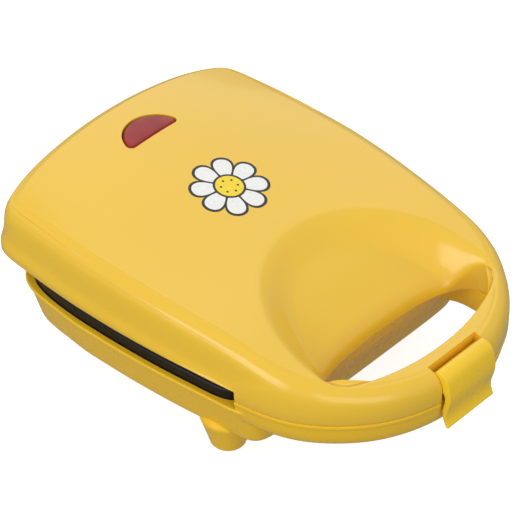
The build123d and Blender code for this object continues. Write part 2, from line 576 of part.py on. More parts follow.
# ------------------------------------------------------------------ thermostat, fuse, leads
with BuildPart() as thermostat:
    with Locations((0, 21.7, 26.85)):
        Cylinder(8.0, 8.0, align=(Align.CENTER, Align.CENTER, Align.MIN))
    with Locations((0, 21.7, 24.85)):
        Cylinder(6.6, 2.2, align=(Align.CENTER, Align.CENTER, Align.MIN))
    with Locations((0, 27.6, 26.2), (0, 15.8, 26.2)):
        Box(3.0, 3.6, 0.8)
thermostat.part.label = "thermostat"
export_step(thermostat.part, "parts/thermostat.step")

with BuildPart() as thermostat_bracket:
    with BuildSketch(Plane.XZ.offset(-25.7)):
        with BuildLine():
            Polyline((-22.0, 33.0), (-22.0, 32.2), (-16.3, 32.2), (-16.3, 24.05), (16.3, 24.05), (16.3, 32.2),
                     (22.0, 32.2), (22.0, 33.0), (15.5, 33.0), (15.5, 24.85), (-15.5, 24.85), (-15.5, 33.0), close=True)
        make_face()
    extrude(amount=8.0)
    with Locations((18.9, 21.7, 31.0), (-18.9, 21.7, 31.0)):
        Cylinder(1.35, 4.0, align=(Align.CENTER, Align.CENTER, Align.MIN), mode=Mode.SUBTRACT)
thermostat_bracket.part.label = "thermostat_bracket"
export_step(thermostat_bracket.part, "parts/thermostat_bracket.step")

with BuildPart() as thermal_fuse:
    with Locations((0, 33.0, 32.85)):
        Cylinder(2.0, 14.0, rotation=(0, 90, 0))
        Cylinder(0.6, 22.0, rotation=(0, 90, 0))
thermal_fuse.part.label = "thermal_fuse"
export_step(thermal_fuse.part, "parts/thermal_fuse.step")

with BuildPart() as fuse_clip:
    with BuildSketch(Plane.YZ.offset(-3.0)):
        with BuildLine():
            Polyline((30.3, 34.85), (30.3, 30.2), (35.6, 30.2), (35.6, 32.4), (42.6, 32.4), (42.6, 33.0),
                     (35.0, 33.0), (35.0, 30.8), (30.9, 30.8), (30.9, 34.85), close=True)
        make_face()
    extrude(amount=6.0)
    with Locations((0, 40.0, 31.0)):
        Cylinder(1.35, 4.0, align=(Align.CENTER, Align.CENTER, Align.MIN), mode=Mode.SUBTRACT)
fuse_clip.part.label = "fuse_clip"
export_step(fuse_clip.part, "parts/fuse_clip.step")

with BuildPart() as bracket_screws:
    for x, y, z in ((18.9, 21.7, 32.2), (-18.9, 21.7, 32.2), (0, 40.0, 32.4)):
        with Locations((x, y, z - 1.6)):
            Cylinder(2.3, 1.6, align=(Align.CENTER, Align.CENTER, Align.MIN))
        with Locations((x, y, z - 0.2)):
            Cylinder(1.25, 4.0, align=(Align.CENTER, Align.CENTER, Align.MIN))
bracket_screws.part.label = "bracket_screws"
export_step(bracket_screws.part, "parts/bracket_screws.step")

with BuildPart() as terminal_block:
    with Locations((40.5, 70.4, 20.95)):
        Box(17.0, 5.6, 7.6)
    with Locations((35.5, 70.4, 24.75), (40.5, 70.4, 24.75), (45.5, 70.4, 24.75)):
        Cylinder(1.5, 4.0, mode=Mode.SUBTRACT)
terminal_block.part.label = "terminal_block"
export_step(terminal_block.part, "parts/terminal_block.step")

with BuildPart() as cord_bushing:
    with Locations((BUSH_X, 78.4, BUSH_Z)):
        Cylinder(5.0, 8.4, rotation=(90, 0, 0))
    with Locations((BUSH_X, 73.6, BUSH_Z)):
        Cylinder(5.8, 1.4, rotation=(90, 0, 0))
    with Locations((BUSH_X, 78.0, BUSH_Z)):
        Cylinder(3.2, 20.0, rotation=(90, 0, 0), mode=Mode.SUBTRACT)
cord_bushing.part.label = "cord_bushing"
export_step(cord_bushing.part, "parts/cord_bushing.step")

with BuildPart() as base_wires:
    lead([(31.6, 69.4, 20.5), (9.0, 69.4, 20.5), (9.0, 69.4, 27.0), (9.0, 72.8, 27.0), (9.0, 72.8, 30.9)], 0.7, 1.4)
    lead([(31.6, 72.4, 22.5), (-9.0, 72.4, 22.5), (-9.0, 72.4, 30.9)], 0.7, 3.0)
    lead([(31.6, 69.4, 23.9), (6.5, 69.4, 23.9), (6.5, 31.5, 23.9), (6.5, 31.5, 28.0), (6.5, 27.4, 28.0)], 0.7, 1.8)
    lead([(35.5, 70.6, 24.95), (35.5, 70.6, 28.0), (-8.6, 70.6, 28.0), (-8.6, 88.2, 28.0), (-8.6, 88.2, 39.1),
          (-0.5, 88.2, 39.1)], 0.7, 1.3)
    lead([(40.5, 70.6, 24.95), (40.5, 70.6, 26.2), (40.5, 68.4, 26.2), (-6.0, 68.4, 26.2), (-6.0, 68.4, 29.3),
          (-6.0, 88.2, 29.3), (-6.0, 88.2, 36.9), (-0.5, 88.2, 36.9)], 0.7, 0.85)
base_wires.part.label = "base_wires"
export_step(base_wires.part, "parts/base_wires.step")

with BuildPart() as lid_wires:
    lead([(0.5, 88.2, 39.1), (5.9, 88.2, 39.1), (5.9, 88.2, 50.4), (5.9, 76.0, 50.4), (9.0, 76.0, 50.4),
          (9.0, 72.8, 50.4), (9.0, 72.8, 45.2)], 0.7, 1.3)
    lead([(0.5, 88.2, 36.9), (9.0, 88.2, 36.9), (9.0, 88.2, 53.2), (9.0, 78.5, 53.2), (-9.0, 78.5, 53.2),
          (-9.0, 72.8, 53.2), (-9.0, 72.8, 45.2)], 0.7, 1.6)
    lead([(7.4, 68.2, 64.8), (9.2, 68.2, 64.8), (9.2, 77.0, 64.8), (9.2, 77.0, 54.6)], 0.6, 0.8)
    lead([(-7.4, 68.2, 64.8), (-9.2, 68.2, 64.8), (-9.2, 77.0, 64.8), (-9.2, 77.0, 54.6)], 0.6, 0.8)
lid_wires.part.label = "lid_wires"
export_step(lid_wires.part, "parts/lid_wires.step")

# ------------------------------------------------------------------ indicator
with BuildPart() as indicator_lens:
    with BuildSketch(Plane.XY.offset(69.0)):
        with BuildLine():
            Line((-LENS_W / 2, LENS_Y - LENS_D / 2), (LENS_W / 2, LENS_Y - LENS_D / 2))
            ThreePointArc((LENS_W / 2, LENS_Y - LENS_D / 2), (0, LENS_Y + LENS_D / 2),
                          (-LENS_W / 2, LENS_Y - LENS_D / 2))
        make_face()
    extrude(amount=8)
    add(above_roof, mode=Mode.SUBTRACT)
    with Locations((0, LENS_Y - 1.0, 69.0)):
        Box(28.8, 8.0, 1.2)
indicator_lens.part.label = "indicator_lens"
export_step(indicator_lens.part, "parts/indicator_lens.step")

with BuildPart() as lamp_holder:
    with Locations((0, 68.2, 61.2)):
        Box(25.0, 8.0, 1.4)
    with Locations((11.5, 67.6, 65.0), (-11.5, 67.6, 65.0)):
        Box(2.0, 5.0, 6.8)
lamp_holder.part.label = "lamp_holder"
export_step(lamp_holder.part, "parts/lamp_holder.step")

with BuildPart() as indicator_lamp:
    with Locations((0, 68.2, 64.8)):
        Cylinder(2.8, 14.0, rotation=(0, 90, 0))
indicator_lamp.part.label = "indicator_lamp"
export_step(indicator_lamp.part, "parts/indicator_lamp.step")

# ------------------------------------------------------------------ hinge pins, latch, pads
with BuildPart() as hinge_pins:
    with Locations((38.0, HINGE_Y, HINGE_Z), (-38.0, HINGE_Y, HINGE_Z)):
        Cylinder(PIN_R, 17.0, rotation=(0, 90, 0))
hinge_pins.part.label = "hinge_pins"
export_step(hinge_pins.part, "parts/hinge_pins.step")

with BuildPart() as latch_pin:
    with Locations((0, LATCH_PIN_Y, LATCH_PIN_Z)):
        Cylinder(LATCH_PIN_R, 33.6, rotation=(0, 90, 0))
latch_pin.part.label = "latch_pin"
export_step(latch_pin.part, "parts/latch_pin.step")

with BuildPart() as latch:
    with BuildSketch(Plane.YZ.offset(-LATCH_W / 2)):
        with BuildLine():
            Polyline((-90.9, 51.0), (-93.4, 50.5), (-95.1, 49.1), (-96.1, 46.8), (-96.6, 44.5), (-97.1, 42.2),
                     (-97.4, 40.0), (-97.0, 37.4), (-95.9, 35.4), (-95.25, 33.8), (-95.2, 32.0), (-95.7, 30.2),
                     (-96.6, 28.3), (-97.0, 27.2), (-96.6, 26.6), (-95.5, 26.9), (-94.4, 29.0), (-93.7, 31.4),
                     (-93.5, 34.4), (-94.2, 36.6), (-94.5, 39.4), (-94.0, 41.6), (-92.4, 43.0), (-89.0, 43.0),
                     (-88.6, 48.1), (-90.6, 48.1), (-90.1, 50.4), close=True)
        make_face()
    extrude(amount=LATCH_W)
    with Locations((0, LATCH_PIN_Y, LATCH_PIN_Z)):
        Cylinder(2.5, LATCH_W, rotation=(0, 90, 0))
    with BuildSketch(Plane.YZ.offset(-7.0)):
        with BuildLine():
            Polyline((-94.2, 30.6), (-91.4, 31.4), (-91.4, 32.8), (-94.2, 33.8), close=True)
        make_face()
    extrude(amount=14.0)
    with Locations((0, LATCH_PIN_Y, LATCH_PIN_Z)):
        Cylinder(LATCH_PIN_R + 0.05, LATCH_W + 2, rotation=(0, 90, 0), mode=Mode.SUBTRACT)
latch.part.label = "latch"
export_step(latch.part, "parts/latch.step")

with BuildPart() as rubber_feet:
    with Locations(*[(x, y, 0.0) for x, y in FEET]):
        Cylinder(5.2, 2.0, align=(Align.CENTER, Align.CENTER, Align.MIN))
rubber_feet.part.label = "rubber_feet"
export_step(rubber_feet.part, "parts/rubber_feet.step")
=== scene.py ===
import math

import bmesh
import bpy
import numpy as np
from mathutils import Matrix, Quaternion, Vector


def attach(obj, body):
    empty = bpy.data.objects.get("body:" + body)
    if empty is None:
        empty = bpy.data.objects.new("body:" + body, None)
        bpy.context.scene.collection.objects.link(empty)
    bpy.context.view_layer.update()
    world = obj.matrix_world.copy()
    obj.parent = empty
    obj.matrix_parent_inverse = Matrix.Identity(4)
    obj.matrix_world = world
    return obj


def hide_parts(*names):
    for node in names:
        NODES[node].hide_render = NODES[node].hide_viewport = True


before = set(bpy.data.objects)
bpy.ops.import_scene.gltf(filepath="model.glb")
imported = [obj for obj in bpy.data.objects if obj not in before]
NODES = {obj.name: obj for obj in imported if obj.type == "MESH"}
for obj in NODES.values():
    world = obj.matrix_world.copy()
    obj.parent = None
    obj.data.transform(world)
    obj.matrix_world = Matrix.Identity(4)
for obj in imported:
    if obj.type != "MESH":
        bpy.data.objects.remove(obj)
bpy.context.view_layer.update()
MM = 0.001

# ------------------------------------------------------------------ outline and height tables (mm)
HALF = [(0, 97.6), (14.2, 97.4), (27.6, 96.8), (39.7, 95.9), (49.6, 94.4), (57.3, 92.4), (62.7, 89.5),
        (65.8, 85.5), (67.3, 80.2), (68.0, 73.4), (68.7, 65.0), (69.4, 55.1), (69.9, 44.0), (70.0, 32.0),
        (69.8, 19.5), (69.2, 6.9), (68.3, -5.4), (67.1, -17.1), (66.0, -27.9), (64.8, -37.6),
        (63.4, -46.4), (61.2, -54.3), (58.1, -61.5), (54.0, -67.9), (49.1, -73.8), (43.5, -79.2),
        (37.0, -84.1), (29.3, -88.3), (20.3, -91.7), (10.4, -93.9), (0, -94.7)]
LOW_HALF = [(0, 83.0), (14, 83.0), (28, 83.0), (40, 82.9), (49, 82.4), (56, 80.9), (61.2, 78.0),
            (64.9, 73.4), (67.1, 67.5), (68.3, 60.5), (69.1, 52.5)] + HALF[12:]
TUB_HALF = LOW_HALF[:18] + [(65.3, -34.4), (63.6, -40.6), (60.0, -45.4), (54.0, -48.1), (46, -49.0), (36, -49.2),
                            (24, -49.2), (12, -49.2), (0, -49.2)]
GAP_HALF = [(0, -50.3), (14, -50.8), (26, -52.2), (35, -54.6), (42, -58.6), (45.4, -63.6),
            (44.2, -69.0), (38.5, -73.6), (29, -77.2), (15, -80.2), (0, -81.2)]
GAP_LOW_HALF = [(0, -50.3), (14, -50.5), (26, -50.8), (36, -50.6), (42.6, -51.4), (44.8, -54.6), (45.5, -59.0),
                (45.4, -63.6), (44.2, -69.0), (38.5, -73.6), (29, -77.2), (15, -80.2), (0, -81.2)]
CREST = [(98, 63.2), (60, 64.2), (20, 64), (0, 63), (-20, 61.5), (-34, 59.8), (-48, 57.2),
         (-62, 54.4), (-75, 52.2), (-88, 50.9), (-98, 50.4)]
CROWN = [(98, 71.8), (88, 73), (67, 73.3), (45, 71.3), (25, 68.6), (6, 65.5), (-11, 63.4),
         (-24, 62.2), (-34, 60.5), (-48, 57.4), (-62, 54.5), (-75, 52.2), (-88, 50.9), (-98, 50.4)]
SCOOP = [(98, 71.8), (88, 73), (67, 73.3), (45, 71.3), (25, 68.3), (6, 63.9), (-11, 58.9),
         (-24, 55), (-34, 51.5), (-42, 47.5), (-50, 43.5), (-60, 42.5), (-98, 42.5)]
Z_PART, Z_LIP_UP, Z_LIP_LOW, Y_BULK = 38.0, 42.4, 33.6, -36.6


def smooth(a, b, x):
    t = np.clip((np.asarray(x, float) - a) / (b - a), 0, 1)
    return t * t * (3 - 2 * t)


def along(table, y):
    ys = np.array([p[0] for p in table][::-1], float)
    zs = np.array([p[1] for p in table][::-1], float)
    y = np.asarray(y, float)
    return sum(np.interp(y + k * 1.5, ys, zs) for k in range(-4, 5)) / 9


def closed(half):
    return np.array(list(half) + [(-x, y) for x, y in half[-2:0:-1]], float)


def dense(points, n=2400):
    """Periodic cubic spline through the points, resampled evenly by length."""
    p = np.asarray(points, float)
    m = len(p)
    q = np.roll(p, -1, 0)
    h = np.maximum(np.hypot(*(q - p).T), 1e-9)
    a = np.zeros((m, m))
    r = np.zeros((m, 2))
    for i in range(m):
        hp, hn = h[i - 1], h[i]
        a[i, i - 1] += hp
        a[i, i] += 2 * (hp + hn)
        a[i, (i + 1) % m] += hn
        r[i] = 6 * ((p[(i + 1) % m] - p[i]) / hn - (p[i] - p[i - 1]) / hp)
    c = np.linalg.solve(a, r)
    out = []
    for i in range(m):
        j = (i + 1) % m
        t = np.linspace(0, 1, 60, endpoint=False)[:, None] * h[i]
        u = h[i] - t
        out.append((c[i] * u ** 3 + c[j] * t ** 3) / (6 * h[i])
                   + (p[i] / h[i] - c[i] * h[i] / 6) * u + (p[j] / h[i] - c[j] * h[i] / 6) * t)
    out = np.concatenate(out)
    return resample(out, n)


def resample(line, n, weight=None):
    """n points on a closed line; weight gives how densely they lie, one number for each point of the line."""
    nxt = np.roll(line, -1, 0)
    seg = np.hypot(*(nxt - line).T)
    if weight is not None:
        seg = seg * weight
    s = np.concatenate([[0], np.cumsum(seg)])
    want = np.arange(n) / n * s[-1]
    full = np.vstack([line, line[:1]])
    return np.stack([np.interp(want, s, full[:, 0]), np.interp(want, s, full[:, 1])], 1)


def normals(line):
    t = np.roll(line, -1, 0) - np.roll(line, 1, 0)
    t /= np.maximum(np.hypot(*t.T), 1e-9)[:, None]
    return np.stack([-t[:, 1], t[:, 0]], 1)     # outward, for a clockwise closed line from the back


def inset(line, d):
    return line - normals(line) * np.asarray(d, float).reshape(-1, 1)


def distance(pts, line):
    """Distance of each point from a dense closed line."""
    out = np.empty(len(pts))
    for i in range(0, len(pts), 4000):
        d = pts[i:i + 4000, None, :] - line[None]
        out[i:i + 4000] = np.sqrt((d * d).sum(2).min(1))
    return out


OUT = dense(closed(HALF))
LOW = dense(closed(LOW_HALF))
TUB = dense(closed(TUB_HALF))
GAPL = dense(closed(GAP_HALF))
GAPLOW = dense(closed(GAP_LOW_HALF))


def plain_top(x, y):
    """Height of the lid without the roll-over at its edges."""
    crest, crown, scoop = along(CREST, y), along(CROWN, y), along(SCOOP, y)
    u = np.minimum(1.0, np.abs(x) / 64)
    plateau = crest + (crown - crest) * (1 - u * u)
    e = np.hypot(x / 46, (y + 59) / 53)
    s = np.clip((1.06 - e) / 0.30, 0, 1)
    s = s * s * (3 - 2 * s) * np.clip(1 + (y + 59) / 10, 0, 1)
    return plateau + (np.minimum(scoop, plateau) - plateau) * s


SIDE_D = np.array([0.0, 0.35, 0.8, 1.2, 1.7, 2.2, 2.8, 4.0, 5.2, 6.5, 8.0])
SIDE_DROP = np.array([19.6, 18.2, 17.0, 15.8, 11.2, 6.8, 4.8, 2.55, 1.5, 0.72, 0.0])


def outer_drop(d, y, zc):
    """How far the lid's surface lies under its shoulder at distance d from the outline."""
    d = np.asarray(d, float)
    side = np.interp(d, SIDE_D, SIDE_DROP)
    side = side + 0.2 * np.exp(-((d - 8.0) / 0.34) ** 2) * smooth(-42, -26, y) * (1 - smooth(60, 70, y))
    u = np.clip((8 - d) / 8, 0, 1)
    rise = np.maximum(zc - 42.6, 5)
    grip = rise * (1 - (1 - u ** 2.2) ** (1 / 2.2))
    w = smooth(-24, -52, y)
    return side * (1 - w) + grip * w


def finger_drop(e, x, y):
    """How far the surface lies lower near the finger gap, at distance e from it."""
    front = smooth(-55, -74, y)
    r = 4.2 * (1 - front) + 1.5 * front + 2.0 * smooth(-58, -51, y)
    u = np.clip((r - e) / r, 0, 1)
    return r * 0.95 * (1 - np.sqrt(np.maximum(0, 1 - u * u)))


def lid_top(x, y):
    p = np.stack([np.ravel(x), np.ravel(y)], 1).astype(float)
    d, e = distance(p, OUT), distance(p, GAPL)
    z = plain_top(p[:, 0], p[:, 1])
    return (z - outer_drop(d, p[:, 1], z) - finger_drop(e, p[:, 0], p[:, 1])).reshape(np.shape(x))


# ------------------------------------------------------------------ mesh helpers
def new_object(name, verts, faces, body, shade=True):
    me = bpy.data.meshes.new(name)
    me.from_pydata([tuple(v) for v in np.asarray(verts, float) * MM], [], faces)
    me.validate()
    me.update()
    if shade:
        me.polygons.foreach_set("use_smooth", [True] * len(me.polygons))
    ob = bpy.data.objects.new(name, me)
    bpy.context.scene.collection.objects.link(ob)
    if body:
        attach(ob, body)
    return ob


def ring_faces(count, n, close=False):
    faces = []
    for k in range(count - 1):
        a, b = k * n, (k + 1) * n
        for i in range(n):
            j = (i + 1) % n
            faces.append((a + i, a + j, b + j, b + i))
    if close:
        a, b = (count - 1) * n, 0
        for i in range(n):
            j = (i + 1) % n
            faces.append((a + i, a + j, b + j, b + i))
    return faces


def rings_object(name, rings, body, caps=(False, False), close=False):
    n = len(rings[0])
    verts = np.concatenate(rings)
    faces = ring_faces(len(rings), n, close)
    if caps[0]:
        faces.append(tuple(range(n))[::-1])
    if caps[1]:
        faces.append(tuple(range((len(rings) - 1) * n, len(rings) * n)))
    ob = new_object(name, verts, faces, body)
    fix_normals(ob)
    return ob


def fix_normals(ob):
    bm = bmesh.new()
    bm.from_mesh(ob.data)
    bmesh.ops.recalc_face_normals(bm, faces=bm.faces)
    bm.to_mesh(ob.data)
    bm.free()


def ring3(xy, z):
    xy = np.asarray(xy, float)
    z = np.broadcast_to(np.asarray(z, float), (len(xy),))
    return np.column_stack([xy, z])


def prism(line, z0, z1, name="cut"):
    """Closed prism over a closed plan line."""
    return rings_object(name, [ring3(line, z0), ring3(line, z1)], None, (True, True))


def box(x0, x1, y0, y1, z0, z1, name="cut"):
    return prism(np.array([(x0, y0), (x1, y0), (x1, y1), (x0, y1)], float), z0, z1, name)


def boolean(ob, others, op):
    """Applies a boolean of ob with the other objects, which are removed."""
    for other in others:
        m = ob.modifiers.new("b", "BOOLEAN")
        m.operation = op
        m.object = other
        m.solver = "EXACT"
    dg = bpy.context.evaluated_depsgraph_get()
    me = bpy.data.meshes.new_from_object(ob.evaluated_get(dg))
    ob.modifiers.clear()
    old = ob.data
    ob.data = me
    bpy.data.meshes.remove(old)
    for other in others:
        bpy.data.objects.remove(other)
    return ob


def join_meshes(objs, name="joined"):
    bm = bmesh.new()
    for o in objs:
        bm.from_mesh(o.data)
        bpy.data.objects.remove(o)
    me = bpy.data.meshes.new(name)
    bm.to_mesh(me)
    bm.free()
    ob = bpy.data.objects.new(name, me)
    bpy.context.scene.collection.objects.link(ob)
    return ob


def smooth_by_angle(ob, degrees):
    """Smooth shading with sharp edges above an angle."""
    me = ob.data
    me.polygons.foreach_set("use_smooth", [True] * len(me.polygons))
    bm = bmesh.new()
    bm.from_mesh(me)
    lim = math.radians(degrees)
    for e in bm.edges:
        e.smooth = not (len(e.link_faces) == 2 and e.calc_face_angle(0) > lim)
    bm.to_mesh(me)
    bm.free()


# ------------------------------------------------------------------ lid shell
def make_lid():
    # points lie denser at the step between plate gap and handle
    w = 1 + 14 * np.exp(-((OUT[:, 1] - Y_BULK) / 1.2) ** 2)
    o = resample(OUT, 420, w)
    nrm = normals(o)
    n = len(o)
    # matched points on the finger gap, along rays from the gap's middle, spread half by angle
    c = np.array([0.0, -64.5])
    ang_o = np.unwrap(np.arctan2(*(o - c).T))
    ang_g = np.unwrap(np.arctan2(*(GAPL - c).T))
    if ang_g[-1] < ang_g[0]:
        ang_g, line = ang_g[::-1], GAPL[::-1]
    else:
        line = GAPL
    a_full = np.concatenate([ang_g - 2 * np.pi, ang_g, ang_g + 2 * np.pi])
    l_full = np.vstack([line] * 3)
    g = np.stack([np.interp(ang_o, a_full, l_full[:, 0]), np.interp(ang_o, a_full, l_full[:, 1])], 1)
    gd = (o - g)
    gd /= np.hypot(*gd.T)[:, None]
    rings = []
    handle = smooth(Y_BULK + 0.35, Y_BULK - 0.35, o[:, 1])
    z_bot = Z_LIP_UP * (1 - handle) + (Z_PART + 0.12) * handle

    def shoulder(d):
        p = o - nrm * d
        return p, plain_top(p[:, 0], p[:, 1])

    _, zc = shoulder(8.0)
    # lip, bead and flank, by distance from the outline
    rings.append(ring3(o - nrm * 0.55, z_bot))
    rings.append(ring3(o - nrm * 0.16, z_bot + 0.12))
    rings.append(ring3(o - nrm * 0.0, z_bot + 0.5))
    w_h = smooth(-24, -52, o[:, 1])
    for d in (0.0, 0.08, 0.35, 0.6, 0.9, 1.2, 1.45, 1.7, 1.95, 2.2, 2.5, 2.8, 3.2, 3.6, 4.0, 4.5, 5.0):
        p = o - nrm * d
        drop = outer_drop(np.full(n, d), o[:, 1], zc)
        z = zc - drop
        low = z_bot + 0.5 + (0.02 + d) * 0.8
        rings.append(ring3(p, np.maximum(z, low)))
    for d in (5.6, 6.3, 6.9, 7.3, 7.55, 7.75, 7.9, 8.0, 8.1, 8.25, 8.45, 8.75):
        p = o - nrm * d
        rings.append(ring3(p, lid_top(p[:, 0], p[:, 1])))
    # crowned top, out to the finger gap
    start = o - nrm * 8.75
    end = g + gd * 1.2
    s = np.linspace(0, 1, 74)
    s = 0.55 * s + 0.45 * (s * s * (3 - 2 * s))
    for k in s[1:-1]:
        p = start + (end - start) * k
        rings.append(ring3(p, lid_top(p[:, 0], p[:, 1])))
    for e in (1.2, 0.8, 0.45, 0.2, 0.05):
        p = g + gd * e
        rings.append(ring3(p, lid_top(p[:, 0], p[:, 1])))
    z_in = rings[-1][:, 2]
    for f in (0.25, 0.5, 0.75):
        rings.append(ring3(g, z_in * (1 - f) + (Z_PART + 0.6) * f))
    rings.append(ring3(g, Z_PART + 0.35))
    rings.append(ring3(g + gd * 0.25, Z_PART + 0.12))
    # underside, flat at the parting plane in front and at the lip behind
    a, b = rings[-1][:, :2], rings[0][:, :2]
    for f in np.linspace(0, 1, 16)[1:-1]:
        p = a + (b - a) * f
        hz = smooth(Y_BULK + 0.3, Y_BULK - 0.3, p[:, 1])
        rings.append(ring3(p, Z_LIP_UP * (1 - hz) + (Z_PART + 0.12) * hz))
    ob = rings_object("lid_shell", rings, None, close=True)
    return ob


lid = make_lid()


def clip_front(line, y0):
    """Closed plan line cut off in front at y0."""
    out = []
    m = len(line)
    for i in range(m):
        p, q = line[i], line[(i + 1) % m]
        if p[1] >= y0:
            out.append(p)
        if (p[1] >= y0) != (q[1] >= y0):
            t = (y0 - p[1]) / (q[1] - p[1])
            out.append(p + (q - p) * t)
    return np.array(out)


def clip_back(line, y1):
    l2 = line * [1, -1]
    return clip_front(l2[::-1], -y1)[::-1] * [1, -1]


def room_rings(line, z_low, sides, middle):
    """Prism over line whose sides lean inwards with the lid's flank and whose top follows the lid."""
    rings = [ring3(line, z_low)]
    last = line
    for d, drop in sides:
        last = inset(line, d)
        rings.append(ring3(last, np.maximum(plain_top(last[:, 0], last[:, 1]) - drop, z_low + 4 + 0.1 * d)))
    c = last.mean(0)
    for f in middle:
        p = c + (last - c) * f
        rings.append(ring3(p, plain_top(p[:, 0], p[:, 1]) - sides[-1][1]))
    return rings


o2 = resample(OUT, 300)
room_line = resample(clip_front(clip_back(inset(o2, 2.4), 80.0), -35.8), 160)
hinge_line = resample(clip_front(inset(o2, 3.6), 82.4), 80)
plate_room = rings_object("cut1", room_rings(room_line, 30.0, [(0.0, 17.6), (0.5, 12.6), (1.0, 8.6), (1.8, 7.0),
                                                               (3.2, 5.0), (4.6, 3.8), (6.0, 3.0)],
                                             (0.9, 0.75, 0.5, 0.25, 0.05)), None, (True, True))
hinge_room = rings_object("cut2", room_rings(hinge_line, 30.0, [(0.0, 14.0), (0.4, 10.5)], (0.85, 0.5)), None,
                          (True, True))


def node_copy(name, grow=0.0, stretch=None):
    """Loose copy of a CAD node's mesh in mm-true place, grown a little, for use as a cutter."""
    me = NODES[name].data.copy()
    bm = bmesh.new()
    bm.from_mesh(me)
    bmesh.ops.remove_doubles(bm, verts=bm.verts, dist=2e-6)
    bm.normal_update()
    if grow:
        shift = {}
        for v in bm.verts:
            ns = []
            for f in v.link_faces:
                if all((f.normal - m).length > 0.3 for m in ns):
                    ns.append(f.normal.copy())
            d = Vector((0, 0, 0))
            for m in ns:
                d += m
            shift[v] = d * grow * MM
        for v, d in shift.items():
            v.co += d
    if stretch:
        for v in bm.verts:
            v.co.z = stretch(v.co.z / MM) * MM
    bm.to_mesh(me)
    bm.free()
    ob = bpy.data.objects.new("copy_" + name, me)
    bpy.context.scene.collection.objects.link(ob)
    return ob


def tube_x(x0, x1, y, z, r, n=48, name="cut"):
    t = np.arange(n) / n * 2 * np.pi
    rings = [np.column_stack([np.full(n, x), y + r * np.cos(t), z + r * np.sin(t)]) for x in (x0, x1)]
    return rings_object(name, rings, None, (True, True))


def tube_z(x, y, z0, z1, r, r1=None, n=48, name="cut"):
    t = np.arange(n) / n * 2 * np.pi
    r1 = r if r1 is None else r1
    rings = [np.column_stack([x + q * np.cos(t), y + q * np.sin(t), np.full(n, z)]) for q, z in ((r, z0), (r1, z1))]
    return rings_object(name, rings, None, (True, True))


def extrude_x(profile, x0, x1, name="cut"):
    """Closed prism along X over a closed profile in the YZ plane."""
    p = np.asarray(profile, float)
    rings = [np.column_stack([np.full(len(p), x), p]) for x in (x0, x1)]
    return rings_object(name, rings, None, (True, True))


def lens_line(grow=0.0, r=1.9):
    """Half-moon with rounded ends, straight side to the front."""
    w, y0, y1 = 13.2, 66.0, 78.2
    rad = (w * w + (y1 - y0) ** 2) / (2 * (y1 - y0))
    cy = y1 - rad
    cx = math.sqrt((rad - r) ** 2 - (y0 + r - cy) ** 2)
    a1 = math.atan2(y0 + r - cy, cx)
    pts = []
    for k in range(13):
        a = -math.pi / 2 + (a1 + math.pi / 2) * k / 12
        pts.append((cx + (r + grow) * math.cos(a), y0 + r + (r + grow) * math.sin(a)))
    for k in range(1, 48):
        a = a1 + (math.pi - 2 * a1) * k / 48
        pts.append(((rad + grow) * math.cos(a), cy + (rad + grow) * math.sin(a)))
    for k in range(13):
        a = math.pi - a1 + (a1 + math.pi / 2) * k / 12
        pts.append((-cx + (r + grow) * math.cos(a), y0 + r + (r + grow) * math.sin(a)))
    for k in range(1, 12):
        pts.append((-cx + 2 * cx * k / 12, y0 - grow))
    return np.array(pts)[::-1]


# ------------------------------------------------------------------ lid: rooms, seat of the cover, slot, window
HINGE = (89.2, 38.0)


def knuckle(x0, x1, y_in, y_out, z_top):
    t = np.linspace(math.radians(180), math.radians(360), 25)
    prof = [(HINGE[0] + 5 * math.cos(a), HINGE[1] + 5 * math.sin(a)) for a in t]
    prof = [(y_in, z_top)] + prof + [(y_out, z_top)]
    return extrude_x(prof, x0, x1)


def apply_lid():
    knuckles = [knuckle(39.2, 47.0, 84.2, 94.2, 46.8), knuckle(-47.0, -39.2, 84.2, 94.2, 46.8),
                knuckle(0.3, 12.0, 84.2, 94.2, 46.8)]
    # clean step between the handle's underside and the raised lip
    boolean(lid, [box(-64.5, 64.5, Y_BULK - 3.0, Y_BULK, Z_PART + 0.14, Z_LIP_UP + 1.5)], "UNION")
    boolean(lid, [box(-66.0, 66.0, Y_BULK, Y_BULK + 3.0, 30.0, Z_LIP_UP + 0.05)], "DIFFERENCE")
    boolean(lid, [plate_room, hinge_room], "DIFFERENCE")
    boolean(lid, [join_meshes(knuckles)], "UNION")
    seat = node_copy("upper_handle_cover", 0.12, lambda z: z - 3 if z < 39 else z)
    slot = box(-13.6, 13.6, -100, -85.9, 30, 60)
    window = prism(lens_line(0.5), 66.0, 80)
    bores = [tube_x(38.9, 47.6, *HINGE, 2.05), tube_x(-47.6, -38.9, *HINGE, 2.05), tube_x(0.0, 10.0, *HINGE, 2.4)]
    boolean(lid, [join_meshes([seat, slot, window] + bores)], "DIFFERENCE")
    smooth_by_angle(lid, 38)
    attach(lid, "lid")
    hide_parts("upper_shell")


apply_lid()

# ------------------------------------------------------------------ base shell


def make_tub():
    line = resample(TUB, 360)
    n = normals(line)
    prof = [(14.0, 14.5), (8.4, 14.5), (7.4, 14.5), (6.6, 14.6), (6.0, 14.95), (5.6, 15.6), (5.2, 16.8), (4.5, 19.2),
            (3.7, 22.2), (2.9, 25.2), (2.1, 28.2), (1.5, 30.4), (1.15, 31.5), (0.85, 31.95), (0.4, 32.15),
            (0.1, 32.35), (0.0, 32.7), (0.0, 33.1), (0.1, 33.4), (0.35, 33.58), (0.8, 33.6), (3.0, 33.6), (9.0, 33.6)]
    rings = [ring3(line - n * min(d, 9.0) if d <= 9 else (line - n * 9.0) * 0.86 + np.array([0, 2.0]), z)
             for d, z in prof]
    return rings_object("base_shell", rings, None, (True, True))


